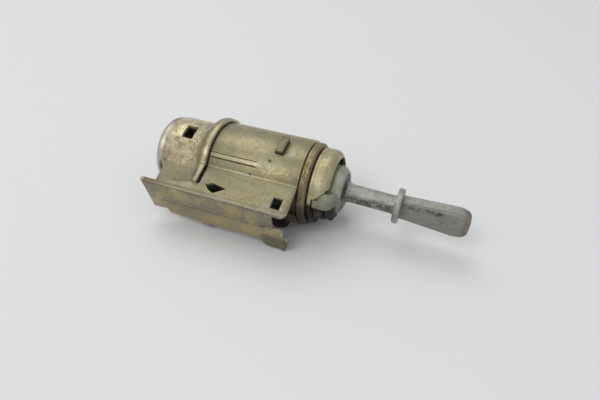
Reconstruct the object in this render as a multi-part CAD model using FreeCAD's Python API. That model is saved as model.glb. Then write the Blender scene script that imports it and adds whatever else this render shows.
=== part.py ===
"""Lock cylinder of a vehicle's steering lock: key barrel, sheet sleeve with a side bracket, and drive rod.

Millimetres. The barrel's axis is X. x = 0 is the plane of the key face and +X points along the drive rod.
-Y is the side with the bracket, +Z is up. An angle round the barrel is counted from -Y towards +Z.
"""
import FreeCAD, Part
import math
import os

os.makedirs("parts", exist_ok=True)
V = FreeCAD.Vector

# Sheet sleeve
sheet = 0.85                # thickness of the folded steel sheet
sleeve_radius = 11.0        # outside of the wide rear band
joggle_depth = 1.15         # the front band is narrower by this radius
sleeve_start = 2.6          # front edge of the sleeve, at the back of the face cap
slit_x = 16.4               # the slit between the two bands, where the lip ends
slit_gap = 0.45             # width of the slit
sleeve_end = 40.7           # rear edge of the sleeve
lip_height = 1.05           # the lip stands this far over the rear band
lip_foot = 11.9             # the front band starts to flare here
lip_rise = 3.1              # length of the flare, from its foot to its crown
wing_lip_rise = 1.7
lip_steps = 4
lip_last_angle = 200.0      # the lip runs over the top and ends here on the far side
joggle_length = 2.0         # slope between the two bands where the sheet isn't slit
lap_angle = -12.0           # free edge of the wrapped sheet, inside the bracket

# Bracket: a wing that leaves the barrel and a face that is folded down from it
crease_angle = 33.0         # where the wing leaves the rear band
wing_slope = 20.0           # degrees below level
wing_width = 8.25           # from the crease to the fold
wing_start = 5.3            # front edge of the wing
face_start = 1.1            # the folded face runs on past the wing towards the key side
face_tilt = 4.5             # the face leans in by this angle
face_lean = 1.4             # its front edge leans back by this much over its height
step_drop = 6.2             # the face steps back here, measured down from the fold
step_depth = 0.35
step_start = 5.3            # in front of this x there is no step
step_ramp = 2.4
face_drop = 11.35           # lower edge of the face
corner_drop = 9.5           # lower edge of its short front corner
corner_length = 5.2
corner_slope = 0.8
nub_at = 17.2               # small nub under the lower edge
nub_width = 1.9
nub_drop = 1.1
nub_slope = 0.4
tab_start = 33.4            # wider tab at the rear end of the face
tab_drop = 13.5
tab_slopes = (3.3, 0.7, 1.2)
tab_end = 39.3
wing_lip_foot = 13.3        # the raised lip's foot on the wing
lip_tip = 5.4               # the lip ends this far out from the crease
lip_tip_foot = 14.4         # it narrows towards this end
lip_tip_height = 0.9
lip_tip_back = 0.35         # its end keeps clear of the slit's far side by this much more
corner_cut = 0.9            # bevel at the rear corner of the wing
bend_overlap = 3.0          # degrees by which the bands run on under the wing
fold_round = 0.75           # outside of the fold
hook_reach = 1.35           # the hook stands past the tab
hook_top = 9.3
hook_slopes = (0.3, 1.0, 0.5)

# Openings in the sleeve
window_at = 8.1             # square window in the front band
window_length = 3.2
window_angles = (65.0, 90.0)
tongue_end = 29.4           # a tongue is cut free of the rear band, back to this x
tongue_angles = (46.4, 51.4)
tongue_slits = (0.4, 0.25)  # widths of the cuts under it and over it
lug_at = 34.05              # locating lug of the housing, in its window
lug_length = 2.15
lug_angles = (70.0, 94.5)
lug_radius = 12.35
lug_play = 0.12
square_at = 37.5            # square hole in the wing
square_length = 2.5
square_out = (3.9, 6.95)
diamond_at = 21.3           # diamond hole in the wing
diamond_length = 5.8
diamond_out = (4.3, 7.0)
diamond_skew = (0.5, 1.0, 0.6, 1.4)
notch_start = 36.9          # square notch at the rear edge of the folded face
notch_drops = (1.1, 6.3)

# Face cap
cap_wall = 0.45
cap_edge = 1.3              # rounded edge of the cap
cap_opening = 6.2

# Housing, a zinc casting
housing_play = 0.05         # between the housing and the sleeve round it
bore_radius = 6.55          # for the plug
plug_play = 0.05
running_play = 0.1          # round the plug's flange and tail
channel_half = 3.8          # locking channels over and under the plug
channel_depth = 1.2
rear_play = 0.2             # behind the plug, where the bore narrows
spigot_step = 1.1           # the spigot is narrower than the housing by this radius
spigot_end = 44.2

# Ring and rear cap on the spigot
ring_gap = 0.25
ring_length = 1.95
ring_inset = 0.25           # the ring lies under the sleeve's surface
ring_bevel = 0.5
seat_play = 0.05
rear_cap_gap = 0.35
rear_cap_wall = 0.8
rear_cap_end = 48.0
rear_lip = 1.7              # the cap reaches in by this at its rear end
rear_shoulder = 2.2
round_steps = 3             # flats in a quarter of a rounded edge
rim_length = 1.0            # the cap's front rim stays whole all round
strip_length = 1.2          # next to it a narrow strip runs further down
strip_angle = 20.0
cut_angle = 33.0            # the wide cut-out starts here

# Plug, wafers and their springs
plug_face = 0.1
head_radius = 6.0
flange = (0.6, 1.8)         # the plug's flange behind the face cap
flange_radius = 7.6
plug_end = 37.8
tail_radius = 4.5
dog_half = 3.0              # flats of the driving dog
dog_end = 47.8
key_half = (1.3, 4.2)       # half width and half height of the keyway
keyway_end = 30.6
wafer_count = 8
wafer_first = 6.4
wafer_pitch = 3.0
wafer_thick = 1.0
wafer_half = 3.6
wafer_gap = 0.05
wafer_window = (1.5, 3.9)
wafer_shifts = (0.45, -0.3, 0.15, -0.45, 0.3, 0.0, -0.15, 0.4)   # one key cut for each wafer
ear_reach = 5.1            # each wafer's ear sits on its spring
ear_height = 1.1
ear_top = 2.2
travel_room = 0.9
spring_at = 4.4
spring_radius = 0.62
spring_wire = 0.24
spring_turns = 3
spring_sides = (5, 3)       # flats to each turn, and round the wire
spring_floor = -2.9

# Shutter behind the key slot
shutter_front = 1.0
shutter_thick = 0.5
shutter_pin_at = (1.45, 1.8)
shutter_pin_radius = 0.25
shutter_play = 0.05
knuckle_radius = 0.42
shutter_half = 4.0
shutter_tip = -1.15
shutter_pocket_end = 4.75
shutter_spring_room = 1.7
shutter_wire = 0.12
shutter_turns = 4

# Driver: hub with a skirt, rod, flange and flat blade in one zinc casting
driver_gap = 0.25           # between the spigot and the hub
hub_radius = 6.35
hub_end = 50.6
hub_round = 2.5
skirt_end = 48.1            # rear edge of the skirt
skirt_inset = 0.35          # the skirt lies under the rear cap's surface
skirt_wall = 0.7
skirt_angles = (5.0, 31.0)
skirt_play = 2.0            # degrees between the skirt and the rear cap
arm_thick = 0.8             # the arm that carries the skirt
arm_slope = 1.2             # it slopes down to the hub over this length
arm_foot = -55.0            # a lower part of it runs on to this angle
notch_angle = 7.0
turn_range = 100.0          # how far the driver turns
root_radius = 3.5
root_length = 1.1
rod_radius = 2.35
rod_bend = 1.6              # degrees; the rod is a little bent, down and outwards
rod_bend_angle = -55.0
disc_start = 63.3
disc_thick = 1.5
disc_radius = 4.45
disc_bevel = 0.3
blade_end = 81.3
blade_thick = (2.9, 3.7)    # at the disc and at the wide end
blade_width = (5.45, 6.8)
blade_wide_at = 77.8
blade_corner = 2.2          # rounded corners of its tip
blade_taper = (2.6, 0.7)    # the tip thins by this over this length
neck_play = 0.03
pin_radius = 0.8            # cross pin through the hub and the dog
pin_at = 45.7
pin_half = 6.25

# Return spring round the hub
coil_inset = 0.95           # the coil's radius is smaller than the spigot's by this
coil_wire = 0.44            # radius of its wire
coil_turns = 2
coil_pitch = 0.92
coil_play = 0.15            # between its wire and what it turns against
coil_angle = 8.5
coil_sides = (12, 6)
leg_depth = 1.2


def around(angle, radius):
    """Point at this angle and radius, in the plane x = 0."""
    a = math.radians(angle)
    return V(0, -radius * math.cos(a), radius * math.sin(a))


def onto_axis(shape, angle):
    """Turn a shape made round +Z, starting at its +X, so that it lies round the barrel's axis."""
    c = math.cos(math.radians(angle))
    s = math.sin(math.radians(angle))
    shape.Placement = FreeCAD.Placement(FreeCAD.Matrix(0, 0, 1, 0, -c, -s, 0, 0, s, -c, 0, 0, 0, 0, 0, 1))
    return shape


def turned(profile, first=0.0, last=360.0):
    """Turn a profile of (x, radius) points round the axis, from one angle to another."""
    points = [V(r, 0, x) for x, r in profile]
    face = Part.Face(Part.makePolygon(points + points[:1]))
    return onto_axis(face.revolve(V(0, 0, 0), V(0, 0, 1), last - first), last)


def disc(radius, start, end):
    return Part.makeCylinder(radius, end - start, V(start, 0, 0), V(1, 0, 0))


def sector(start, end, inner, outer, first, last):
    return turned([(start, inner), (end, inner), (end, outer), (start, outer)], first, last)


def quarter(x, level, radius, first):
    """Points (x, radius) of a quarter round about a centre: first 0 starts outwards, 90 starts forwards."""
    turns = [math.radians(90 * i / round_steps) for i in range(round_steps + 1)]
    points = [(x + radius * math.sin(t), level + radius * math.cos(t)) for t in turns]
    return points if first == 0 else [(2 * x - a, b) for a, b in reversed(points)]


def block(x0, x1, y0, y1, z0, z1):
    return Part.makeBox(x1 - x0, y1 - y0, z1 - z0, V(x0, y0, z0))


def prism(points, along):
    return Part.Face(Part.makePolygon(points + points[:1])).extrude(along)


def one(shapes):
    """Fuse shapes into one clean solid."""
    joined = shapes[0].multiFuse(shapes[1:]) if len(shapes) > 1 else shapes[0]
    joined = joined.removeSplitter()
    return joined.Solids[0] if len(joined.Solids) == 1 else joined


def rounded(shape, radius, chosen):
    """Round the edges that the test picks."""
    edges = [e for e in shape.Edges if chosen(e)]
    return shape.makeFillet(radius, edges) if edges else shape


def save(name, shape):
    shape.exportStep("parts/" + name + ".step")


# Directions in the bracket's two planes
slope = math.radians(wing_slope)
tilt = math.radians(face_tilt)
crease = around(crease_angle, sleeve_radius)
out_along_wing = V(0, -math.cos(slope), -math.sin(slope))
up_from_wing = V(0, -math.sin(slope), math.cos(slope))
fold = crease + out_along_wing * wing_width
down_the_face = V(0, math.sin(tilt), -math.cos(tilt))
out_from_face = V(0, -math.cos(tilt), -math.sin(tilt))
# the hook's lower end stands level with the barrel's lowest line, so that the part rests on both
hook_drop = (fold.z + sleeve_radius) / math.cos(tilt)


# Sizes that follow from those above
front_radius = sleeve_radius - joggle_depth
front_inner = front_radius - sheet
rear_inner = sleeve_radius - sheet
channel_reach = bore_radius + channel_depth
spigot_radius = rear_inner - housing_play - spigot_step + seat_play
ring_radius = sleeve_radius - ring_inset
wing_plane = crease.dot(up_from_wing)
front_crease = math.degrees(math.asin(wing_plane / front_radius)) - wing_slope
top_of_slot = sleeve_radius + lip_height - 1.1 * sheet
cap_radius = front_inner + cap_wall + housing_play
rear_cap_radius = spigot_radius + seat_play + rear_cap_wall
rear_cap_start = sleeve_end + ring_gap + ring_length + rear_cap_gap
rear_cap_rim_end = rear_cap_start + rim_length
rear_opening = rear_cap_radius - rear_lip
driver_start = spigot_end + driver_gap
skirt_outer = rear_cap_radius - skirt_inset
skirt_inner = skirt_outer - skirt_wall
arm_start = skirt_end - arm_thick
coil_radius = spigot_radius - coil_inset
coil_first = spigot_end + coil_play + coil_wire
coil_last = coil_first + coil_pitch * coil_turns
rear_start = slit_x + slit_gap
joggle_start = rear_start - joggle_length


def on_wing(x, out, up):
    return V(x, 0, 0) + crease + out_along_wing * out + up_from_wing * up


def on_face(x, down, proud):
    return V(x, 0, 0) + fold + down_the_face * down + out_from_face * proud


def out_to(radius):
    """How far out from the crease the wing's plane meets a band of this radius (negative is inwards)."""
    return math.sqrt(radius ** 2 - wing_plane ** 2) - crease.dot(out_along_wing)


def lip_profile(foot, rise, low, high):
    """The lip in section: a soft S from the low level up to the crown, then level to the slit."""
    steps = [i / lip_steps for i in range(lip_steps + 1)]
    curve = [(foot + rise * t, low + (high - low) * (1 - math.cos(math.pi * t)) / 2) for t in steps]
    under = [(min(x + sheet / 2, slit_x - sheet / 4), level - sheet) for x, level in reversed(curve[:-1])]
    return curve + [(slit_x, high - sheet / 6), (slit_x, high - sheet)] + under + [(foot, low - sheet)]


def bands():
    """The two wrapped bands of the sleeve, the lip over the slit, and the joggle underneath."""
    front = sector(sleeve_start, lip_foot, front_inner, front_radius, lap_angle, lap_angle + 360)
    open_side = sector(wing_start, lip_foot, 0, sleeve_radius, lap_angle - 1, front_crease - bend_overlap)
    rear = sector(rear_start, sleeve_end, rear_inner, sleeve_radius, crease_angle - bend_overlap, lap_angle + 360)
    lip = turned(lip_profile(lip_foot, lip_rise, front_radius, sleeve_radius + lip_height),
                 crease_angle - 1, lip_last_angle)
    joggle = turned([(lip_foot, front_inner), (lip_foot, front_radius), (joggle_start, front_radius),
                     (rear_start, sleeve_radius), (rear_start, rear_inner), (joggle_start + sheet / 2, front_inner)],
                    lip_last_angle, lap_angle + 360)
    return [front.cut(open_side), rear, lip, joggle]


def wing_plate(start, end, inner, outer):
    return prism([on_wing(start, inner, 0), on_wing(start, outer, 0),
                  on_wing(start, outer, -sheet), on_wing(start, inner, -sheet)], V(end - start, 0, 0))


def wing():
    """The flat wing with its slit, the lip that ends on it, and the nose in front of it along the fold."""
    front_in = out_to(front_radius)
    flat = wing_plate(wing_start, sleeve_end, 0, wing_width).fuse(wing_plate(wing_start, slit_x, front_in, 0))
    foot = wing_lip_foot + sheet / 2
    slit = prism([on_wing(foot, front_in - sheet, sheet), on_wing(rear_start, front_in - sheet, sheet),
                  on_wing(rear_start, lip_tip, sheet), on_wing(lip_tip_foot - lip_tip_back + sheet / 2, lip_tip, sheet),
                  on_wing(foot, 0, sheet)], up_from_wing * (-3 * sheet))
    root = lip_profile(wing_lip_foot, wing_lip_rise, 0, lip_height)
    tip = lip_profile(lip_tip_foot, wing_lip_rise * lip_tip_height / lip_height, 0, lip_tip_height)
    tip = [(x - lip_tip_back, up) for x, up in tip]
    lip = prism([on_wing(x, front_in, up) for x, up in root], out_along_wing * -front_in)
    sections = [Part.makePolygon([on_wing(x, out, up) for x, up in profile + profile[:1]])
                for profile, out in ((root, 0), (tip, lip_tip))]
    lip = lip.fuse(Part.makeLoft(sections, True, True))
    under_lip = sector(lip_foot + sheet, slit_x, 0, sleeve_radius + lip_height - sheet, crease_angle, 90)
    nose = wing_plate(face_start + sheet, wing_start, wing_width - sheet, wing_width)
    return [flat.cut(slit), lip.cut(under_lip), nose]


def wing_corner():
    """What is cut off at the rear corner, where the wing meets the fold."""
    reach = 2 * corner_cut
    return prism([on_wing(sleeve_end - reach, wing_width + corner_cut, sheet),
                  on_wing(sleeve_end + corner_cut, wing_width + corner_cut, sheet),
                  on_wing(sleeve_end + corner_cut, wing_width - reach, sheet)], up_from_wing * (-4 * sheet))


def face_outline(points, proud, thick):
    return prism([on_face(x, down, proud) for x, down in points], out_from_face * -thick)


def folded_face():
    """The face under the fold: a plain strip, a strip that is stepped back, and the tab with its hook."""
    lean = face_lean / corner_drop
    end_of_corner = face_start + corner_length
    upper = face_outline([(face_start, 0), (sleeve_end, 0), (sleeve_end, notch_drops[0]),
                          (notch_start, notch_drops[0]), (notch_start, step_drop),
                          (face_start + lean * step_drop, step_drop)], 0, sheet)
    corner = face_outline([(face_start + lean * step_drop, step_drop), (step_start, step_drop),
                           (step_start, corner_drop), (face_start + face_lean, corner_drop)], 0, sheet)
    lower = face_outline([(step_start, step_drop - sheet), (notch_start, step_drop - sheet),
                          (notch_start, notch_drops[1]), (tab_end, notch_drops[1]), (tab_end, tab_drop),
                          (tab_start + tab_slopes[2], tab_drop), (tab_start, face_drop + tab_slopes[1]),
                          (tab_start - tab_slopes[0], face_drop),
                          (nub_at + nub_width / 2, face_drop), (nub_at + nub_width / 2, face_drop + nub_drop),
                          (nub_at - nub_width / 2 + nub_slope, face_drop + nub_drop),
                          (nub_at - nub_width / 2, face_drop),
                          (end_of_corner + corner_slope, face_drop), (end_of_corner, corner_drop),
                          (step_start, corner_drop)], sheet, 3 * sheet)
    ramp_end = step_start + step_ramp
    set_back = prism([on_face(x, 0, proud) for x, proud in
                      [(step_start, 0), (ramp_end, -step_depth), (sleeve_end, -step_depth),
                       (sleeve_end, -step_depth - sheet), (ramp_end, -step_depth - sheet), (step_start, -sheet)]],
                     down_the_face * hook_drop)
    before, below, above = hook_slopes
    hook = face_outline([(tab_end - sheet, hook_top), (tab_end + hook_reach - before, hook_top),
                         (tab_end + hook_reach, hook_top + below), (tab_end + hook_reach / 2, tab_drop - above),
                         (tab_end, hook_drop), (tab_end - sheet, tab_drop)], -step_depth, sheet)
    return [upper, corner, lower.common(set_back), hook]


def sleeve():
    """The folded sheet-steel sleeve with its bracket, and every opening stamped in it."""
    body = one(bands() + wing() + folded_face())
    body = rounded(body, fold_round, lambda e: e.BoundBox.XLength > 1 and all(
        abs(v.Y - fold.y) + abs(v.Z - fold.z) < 0.001 for v in e.Vertexes))
    body = body.cut(wing_corner())
    far = 2 * sleeve_radius
    half_window = window_length / 2
    body = body.cut(sector(window_at - half_window, window_at + half_window, front_radius / 2, far, *window_angles))
    for angle, width in zip(tongue_angles, (-tongue_slits[0], tongue_slits[1])):
        edges = sorted((angle, angle + math.degrees(width / sleeve_radius)))
        body = body.cut(sector(slit_x, tongue_end, sleeve_radius / 2, top_of_slot, *edges))
    half_lug = lug_length / 2 + lug_play
    lug_window = (lug_angles[0] - 1, lug_angles[1] + 1)
    body = body.cut(sector(lug_at - half_lug, lug_at + half_lug, sleeve_radius / 2, far, *lug_window))
    half_square = square_length / 2
    corners = [(square_at - half_square, square_out[0]), (square_at + half_square, square_out[0]),
               (square_at + half_square, square_out[1]), (square_at - half_square, square_out[1])]
    body = body.cut(prism([on_wing(x, out, sheet) for x, out in corners], up_from_wing * (-3 * sheet)))
    half_diamond = diamond_length / 2
    middle = (diamond_out[0] + diamond_out[1]) / 2
    low, near, high, far_out = diamond_skew
    corners = [(diamond_at - half_diamond, middle - low), (diamond_at - near, diamond_out[0]),
               (diamond_at + half_diamond, middle - high), (diamond_at, diamond_out[1]),
               (diamond_at - far_out, diamond_out[1] - low)]
    body = body.cut(prism([on_wing(x, out, sheet) for x, out in corners], up_from_wing * (-3 * sheet)))
    return one([body])


def face_cap():
    """A thin drawn cap over the key end, with a rolled edge."""
    corner = cap_edge - cap_wall
    inner = cap_radius - cap_wall
    outside = turned([(0, 0)] + quarter(cap_edge, cap_radius - cap_edge, cap_edge, 90)
                     + [(sleeve_start, cap_radius), (sleeve_start, 0)])
    inside = turned([(cap_wall, 0), (cap_wall, inner - corner), (cap_wall + corner, inner),
                     (sleeve_start, inner), (sleeve_start, 0)])
    return outside.cut(inside).cut(disc(cap_opening, 0, cap_wall))


def housing():
    """The zinc casting: bore for the plug, locking channels, window, locating lug and the rear spigot."""
    front = front_inner - housing_play
    rear = rear_inner - housing_play
    start = cap_wall + housing_play
    corner = cap_edge - cap_wall
    body_end = sleeve_end - housing_play
    outside = turned([(start, 0), (start, front - corner), (start + corner, front),
                      (joggle_start + sheet / 2 + housing_play, front), (rear_start + housing_play, rear),
                      (body_end, rear), (body_end, spigot_radius), (spigot_end, spigot_radius), (spigot_end, 0)])
    lug = sector(lug_at - lug_length / 2, lug_at + lug_length / 2, rear - sheet, lug_radius, *lug_angles)
    body = one([outside, lug])
    half_window = window_length / 2
    body = body.cut(sector(window_at - half_window, window_at + half_window, bore_radius, front_radius, *window_angles))
    body = body.cut(disc(flange_radius + running_play, start, flange[1] + running_play))
    body = body.cut(disc(bore_radius, start, plug_end + rear_play))
    body = body.cut(disc(tail_radius + running_play, plug_end, spigot_end))
    channels = (wafer_first - wafer_thick, wafer_first + wafer_count * wafer_pitch)
    body = body.cut(block(*channels, -channel_half, channel_half, -channel_reach, channel_reach))
    hole = Part.makeCylinder(coil_wire + seat_play, leg_depth, coil_start(spigot_end), V(-1, 0, 0))
    return body.cut(hole)


def coil_start(x):
    return V(x, 0, 0) + around(coil_angle, coil_radius)


def lock_ring():
    """Plain ring on the spigot behind the sleeve, bevelled at its back."""
    start = sleeve_end + ring_gap
    end = start + ring_length
    inner = spigot_radius
    return turned([(start, inner), (start, ring_radius), (end - ring_bevel, ring_radius),
                   (end, ring_radius - ring_bevel), (end, inner)])


def rear_cap():
    """Drawn cap over the return spring, cut out below so that the driver's skirt can swing."""
    start = rear_cap_start
    inner = rear_cap_radius - rear_cap_wall
    bevel = rear_cap_wall / 2
    shoulder = rear_cap_end - rear_shoulder
    outside = turned([(start, 0), (start, rear_cap_radius - bevel), (start + bevel, rear_cap_radius)]
                     + quarter(shoulder, rear_cap_radius - rear_shoulder, rear_shoulder, 0) + [(rear_cap_end, 0)])
    inside = turned([(start, 0), (start, inner)]
                    + quarter(shoulder, rear_cap_radius - rear_shoulder, rear_shoulder - rear_cap_wall, 0)
                    + [(rear_cap_end - rear_cap_wall, 0)])
    shell = outside.cut(inside).cut(disc(rear_opening, start, rear_cap_end))
    lowest = skirt_angles[0] - turn_range - 2 * skirt_play
    far = 2 * rear_cap_radius
    strip_end = rear_cap_rim_end + strip_length
    wide = sector(strip_end, rear_cap_end + 1, 0, far, lowest, cut_angle)
    narrow = sector(rear_cap_rim_end, strip_end, 0, far, lowest, strip_angle)
    return shell.cut(wide).cut(narrow)


def wafer_places():
    return [wafer_first + i * wafer_pitch for i in range(wafer_count)]


def plug():
    """The turning core: keyway, wafer slots, spring pockets, shutter pocket and the driving dog."""
    body = one([disc(head_radius, plug_face, flange[1]), disc(flange_radius, *flange),
                disc(bore_radius - plug_play, flange[0], plug_end), disc(tail_radius, plug_end, spigot_end + 0.1),
                disc(tail_radius, spigot_end, dog_end).common(
                    block(spigot_end, dog_end, -dog_half, dog_half, -tail_radius, tail_radius))])
    body = body.cut(block(plug_face, keyway_end, -key_half[0], key_half[0], -key_half[1], key_half[1]))
    pin_x, pin_y = shutter_pin_at
    room = knuckle_radius + 2 * shutter_play
    tall = shutter_half + 3 * shutter_play
    body = body.cut(block(shutter_front - 2 * shutter_play, shutter_pocket_end,
                          shutter_tip - 4 * shutter_play, pin_y + room, -tall, tall))
    deep = shutter_half + 0.7
    body = body.cut(Part.makeCylinder(shutter_pin_radius, 2 * deep, V(pin_x, pin_y, -deep), V(0, 0, 1)))
    pocket = spring_radius + spring_wire / 2 + wafer_gap
    for x in wafer_places():
        side = wafer_half + wafer_gap
        body = body.cut(block(x - wafer_gap, x + wafer_thick + wafer_gap, -side, side, -bore_radius, bore_radius))
        body = body.cut(block(x - wafer_gap, x + wafer_thick + wafer_gap, 0, ear_reach + wafer_gap,
                              ear_top - ear_height - travel_room, ear_top + travel_room))
        mid = x + wafer_thick / 2
        body = body.cut(block(mid - pocket, mid + pocket, spring_at - pocket, spring_at + pocket, spring_floor, ear_top))
    return body.cut(cross_pin())


def cross_pin():
    return Part.makeCylinder(pin_radius, 2 * pin_half, V(pin_at, -pin_half, 0), V(0, 1, 0))


def wafer(x, shift):
    """One brass wafer with its key window and its spring ear, level with the plug's surface."""
    plate = disc(bore_radius - plug_play - wafer_gap, x, x + wafer_thick)
    plate = plate.common(block(x, x + wafer_thick, -wafer_half, wafer_half, -bore_radius, bore_radius))
    ear = block(x, x + wafer_thick, wafer_half - 0.5, ear_reach, ear_top - ear_height, ear_top)
    hole = block(x, x + wafer_thick, -wafer_window[0], wafer_window[0], shift - wafer_window[1], shift + wafer_window[1])
    return one([plate, ear]).cut(hole)


def coil(radius, wire, pitch, turns, sides):
    """A coil spring round +Z that starts at +X, with a number of flats to each turn and round its wire."""
    per_turn, round_wire = sides
    sections = []
    for i in range(round(turns * per_turn) + 1):
        turn = 2 * math.pi * i / per_turn
        outwards = V(math.cos(turn), math.sin(turn), 0)
        centre = outwards * radius + V(0, 0, pitch * i / per_turn)
        ring = [centre + outwards * (wire * math.cos(a)) + V(0, 0, wire * math.sin(a))
                for a in [2 * math.pi * k / round_wire for k in range(round_wire)]]
        sections.append(Part.makePolygon(ring + ring[:1]))
    return Part.makeLoft(sections, True, True)


def wafer_spring(x):
    height = ear_top - ear_height - spring_floor
    pitch = (height - spring_wire) / spring_turns
    spring = coil(spring_radius, spring_wire / 2, pitch, spring_turns, spring_sides)
    return spring.translated(V(x + wafer_thick / 2, spring_at, spring_floor + spring_wire / 2))


def shutter():
    """The dust flap that closes the key slot, with its knuckle cut short for the spring."""
    pin_x, pin_y = shutter_pin_at
    back = shutter_front + shutter_thick
    top = shutter_half - shutter_spring_room
    flap = block(shutter_front, back, shutter_tip, pin_y - knuckle_radius - shutter_play, -shutter_half, shutter_half)
    web_plate = block(shutter_front, back, shutter_tip, pin_y, -shutter_half, top)
    knuckle = Part.makeCylinder(knuckle_radius, top + shutter_half, V(pin_x, pin_y, -shutter_half))
    hole = Part.makeCylinder(shutter_pin_radius + shutter_play, 2 * shutter_half, V(pin_x, pin_y, -shutter_half))
    return one([flap, web_plate, knuckle]).cut(hole)


def shutter_pin():
    length = shutter_half + 0.6
    pin_x, pin_y = shutter_pin_at
    return Part.makeCylinder(shutter_pin_radius, 2 * length, V(pin_x, pin_y, -length))


def shutter_spring():
    pin_x, pin_y = shutter_pin_at
    radius = shutter_pin_radius + shutter_wire
    pitch = (shutter_spring_room - 3 * shutter_wire) / shutter_turns
    low = shutter_half - shutter_spring_room + shutter_wire
    spring = coil(radius, shutter_wire / 2, pitch, shutter_turns, spring_sides).translated(V(pin_x, pin_y, low))
    leg = Part.makeCylinder(shutter_wire / 2, key_half[0], V(pin_x + radius, pin_y + shutter_wire / 4, low), V(0, -1, 0))
    return one([spring, leg])


def blade_section(x, thick, width):
    return Part.makePolygon([V(x, -thick / 2, -width / 2), V(x, thick / 2, -width / 2),
                             V(x, thick / 2, width / 2), V(x, -thick / 2, width / 2), V(x, -thick / 2, -width / 2)])


def blade():
    """The flat blade: it widens away from the disc, and its tip is rounded and thinned."""
    start = disc_start + disc_thick / 2
    flare = Part.makeLoft([blade_section(start, blade_thick[0], blade_width[0]),
                           blade_section(blade_wide_at, blade_thick[1], blade_width[1])], True, True)
    thick, width = blade_thick[1], blade_width[1]
    end = Part.Face(blade_section(blade_wide_at, thick, width)).extrude(V(blade_end - blade_wide_at, 0, 0))
    half = width / 2
    rounds = quarter(blade_end - blade_corner, half - blade_corner, blade_corner, 0)
    outline = [(start, half)] + rounds + [(x, -z) for x, z in reversed(rounds)] + [(start, -half)]
    side_view = prism([V(x, -thick, z) for x, z in outline], V(0, 2 * thick, 0))
    length, thinner = blade_taper
    outline = [(start, thick / 2), (blade_end - length, thick / 2), (blade_end, (thick - thinner) / 2)]
    outline = outline + [(x, -y) for x, y in reversed(outline)]
    top_view = prism([V(x, y, -width) for x, y in outline], V(0, 0, 2 * width))
    return flare.fuse(end).common(side_view).common(top_view)


def driver():
    """Hub with its skirt and the arm that carries it, socket for the dog, bent rod, disc and flat blade."""
    low, high = skirt_angles
    hub = turned([(driver_start, 0), (driver_start, hub_radius)]
                 + quarter(hub_end - hub_round, hub_radius - hub_round, hub_round, 0) + [(hub_end, 0)])
    narrow_end = rear_cap_rim_end + strip_length + ring_gap
    skirt = sector(narrow_end, skirt_end, skirt_inner, skirt_outer, low, high)
    narrow = sector(driver_start, narrow_end, skirt_inner, skirt_outer, low, strip_angle - skirt_play)
    inside = hub_radius / 2
    arm = turned([(arm_start, inside), (arm_start, skirt_outer), (skirt_end, skirt_outer),
                  (skirt_end + arm_slope, hub_radius - arm_thick / 2), (skirt_end + arm_slope, inside)], low, high)
    foot = turned([(arm_start, inside), (arm_start, skirt_inner - arm_thick), (skirt_end, skirt_inner - arm_thick),
                   (skirt_end + arm_slope, hub_radius - arm_thick), (skirt_end + arm_slope, inside)], arm_foot, low + 1)
    root = turned([(hub_end - root_length, 0), (hub_end - root_length, root_radius), (hub_end, root_radius),
                   (hub_end + root_length, rod_radius), (hub_end + root_length, 0)])
    disc_end = disc_start + disc_thick
    collar = turned([(disc_start, 0), (disc_start, disc_radius - disc_bevel), (disc_start + disc_bevel, disc_radius),
                     (disc_end - disc_bevel, disc_radius), (disc_end, disc_radius - disc_bevel), (disc_end, 0)])
    rod = one([disc(rod_radius, hub_end, disc_start + disc_bevel), root, collar, blade()])
    towards = around(rod_bend_angle, 1)
    rod.rotate(V(hub_end, 0, 0), V(1, 0, 0).cross(towards), rod_bend)
    body = one([hub, skirt, narrow, arm, foot, rod])
    socket_end = dog_end + ring_gap
    flat = dog_half + neck_play
    socket = disc(tail_radius + neck_play, driver_start, socket_end).common(
        block(driver_start, socket_end, -flat, flat, -hub_radius, hub_radius))
    room = coil_wire + seat_play
    notch = sector(coil_last - room, coil_last + room, coil_radius, rear_cap_radius, low - 1, low + notch_angle)
    return one([body.cut(socket).cut(notch).cut(cross_pin())])


def return_spring():
    """Torsion spring round the hub: one leg in the housing, the other in the skirt's notch."""
    spring = onto_axis(coil(coil_radius, coil_wire, coil_pitch, coil_turns, coil_sides), coil_angle)
    spring = spring.translated(V(coil_first, 0, 0))
    leg = coil_wire - seat_play
    front_leg = Part.makeCylinder(leg, coil_first - spigot_end + leg_depth - seat_play,
                                  coil_start(spigot_end - leg_depth + seat_play), V(1, 0, 0))
    inner = around(coil_angle, coil_radius)
    outer = around(coil_angle, skirt_outer)
    back_leg = Part.makeCylinder(leg, (outer - inner).Length, inner + V(coil_last, 0, 0), outer)
    return one([spring, front_leg, back_leg])


save("sleeve_bracket", sleeve())
save("face_cap", face_cap())
save("housing", housing())
save("lock_ring", lock_ring())
save("rear_cap", rear_cap())
save("plug", plug())
for number, place in enumerate(wafer_places(), start=1):
    save("wafer_%d" % number, wafer(place, wafer_shifts[number - 1]))
    save("wafer_spring_%d" % number, wafer_spring(place))
save("shutter", shutter())
save("shutter_pin", shutter_pin())
save("shutter_spring", shutter_spring())
save("driver", driver())
save("driver_pin", cross_pin())
save("return_spring", return_spring())
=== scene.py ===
# %% [markdown]
# # The barrel of a steering lock
#
# A used lock cylinder out of a steering column, lying on a pale table. A yellow passivated steel sleeve
# wraps the zinc barrel and is folded into a bracket on the near side. A silver cap covers the key end,
# and a grey zinc driver with a flat blade comes out at the other end.
#
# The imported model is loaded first. It is the frame that everything else is measured from.

# %% Load the frame
import math

import bmesh
import bpy
from mathutils import Matrix, Vector


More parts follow.
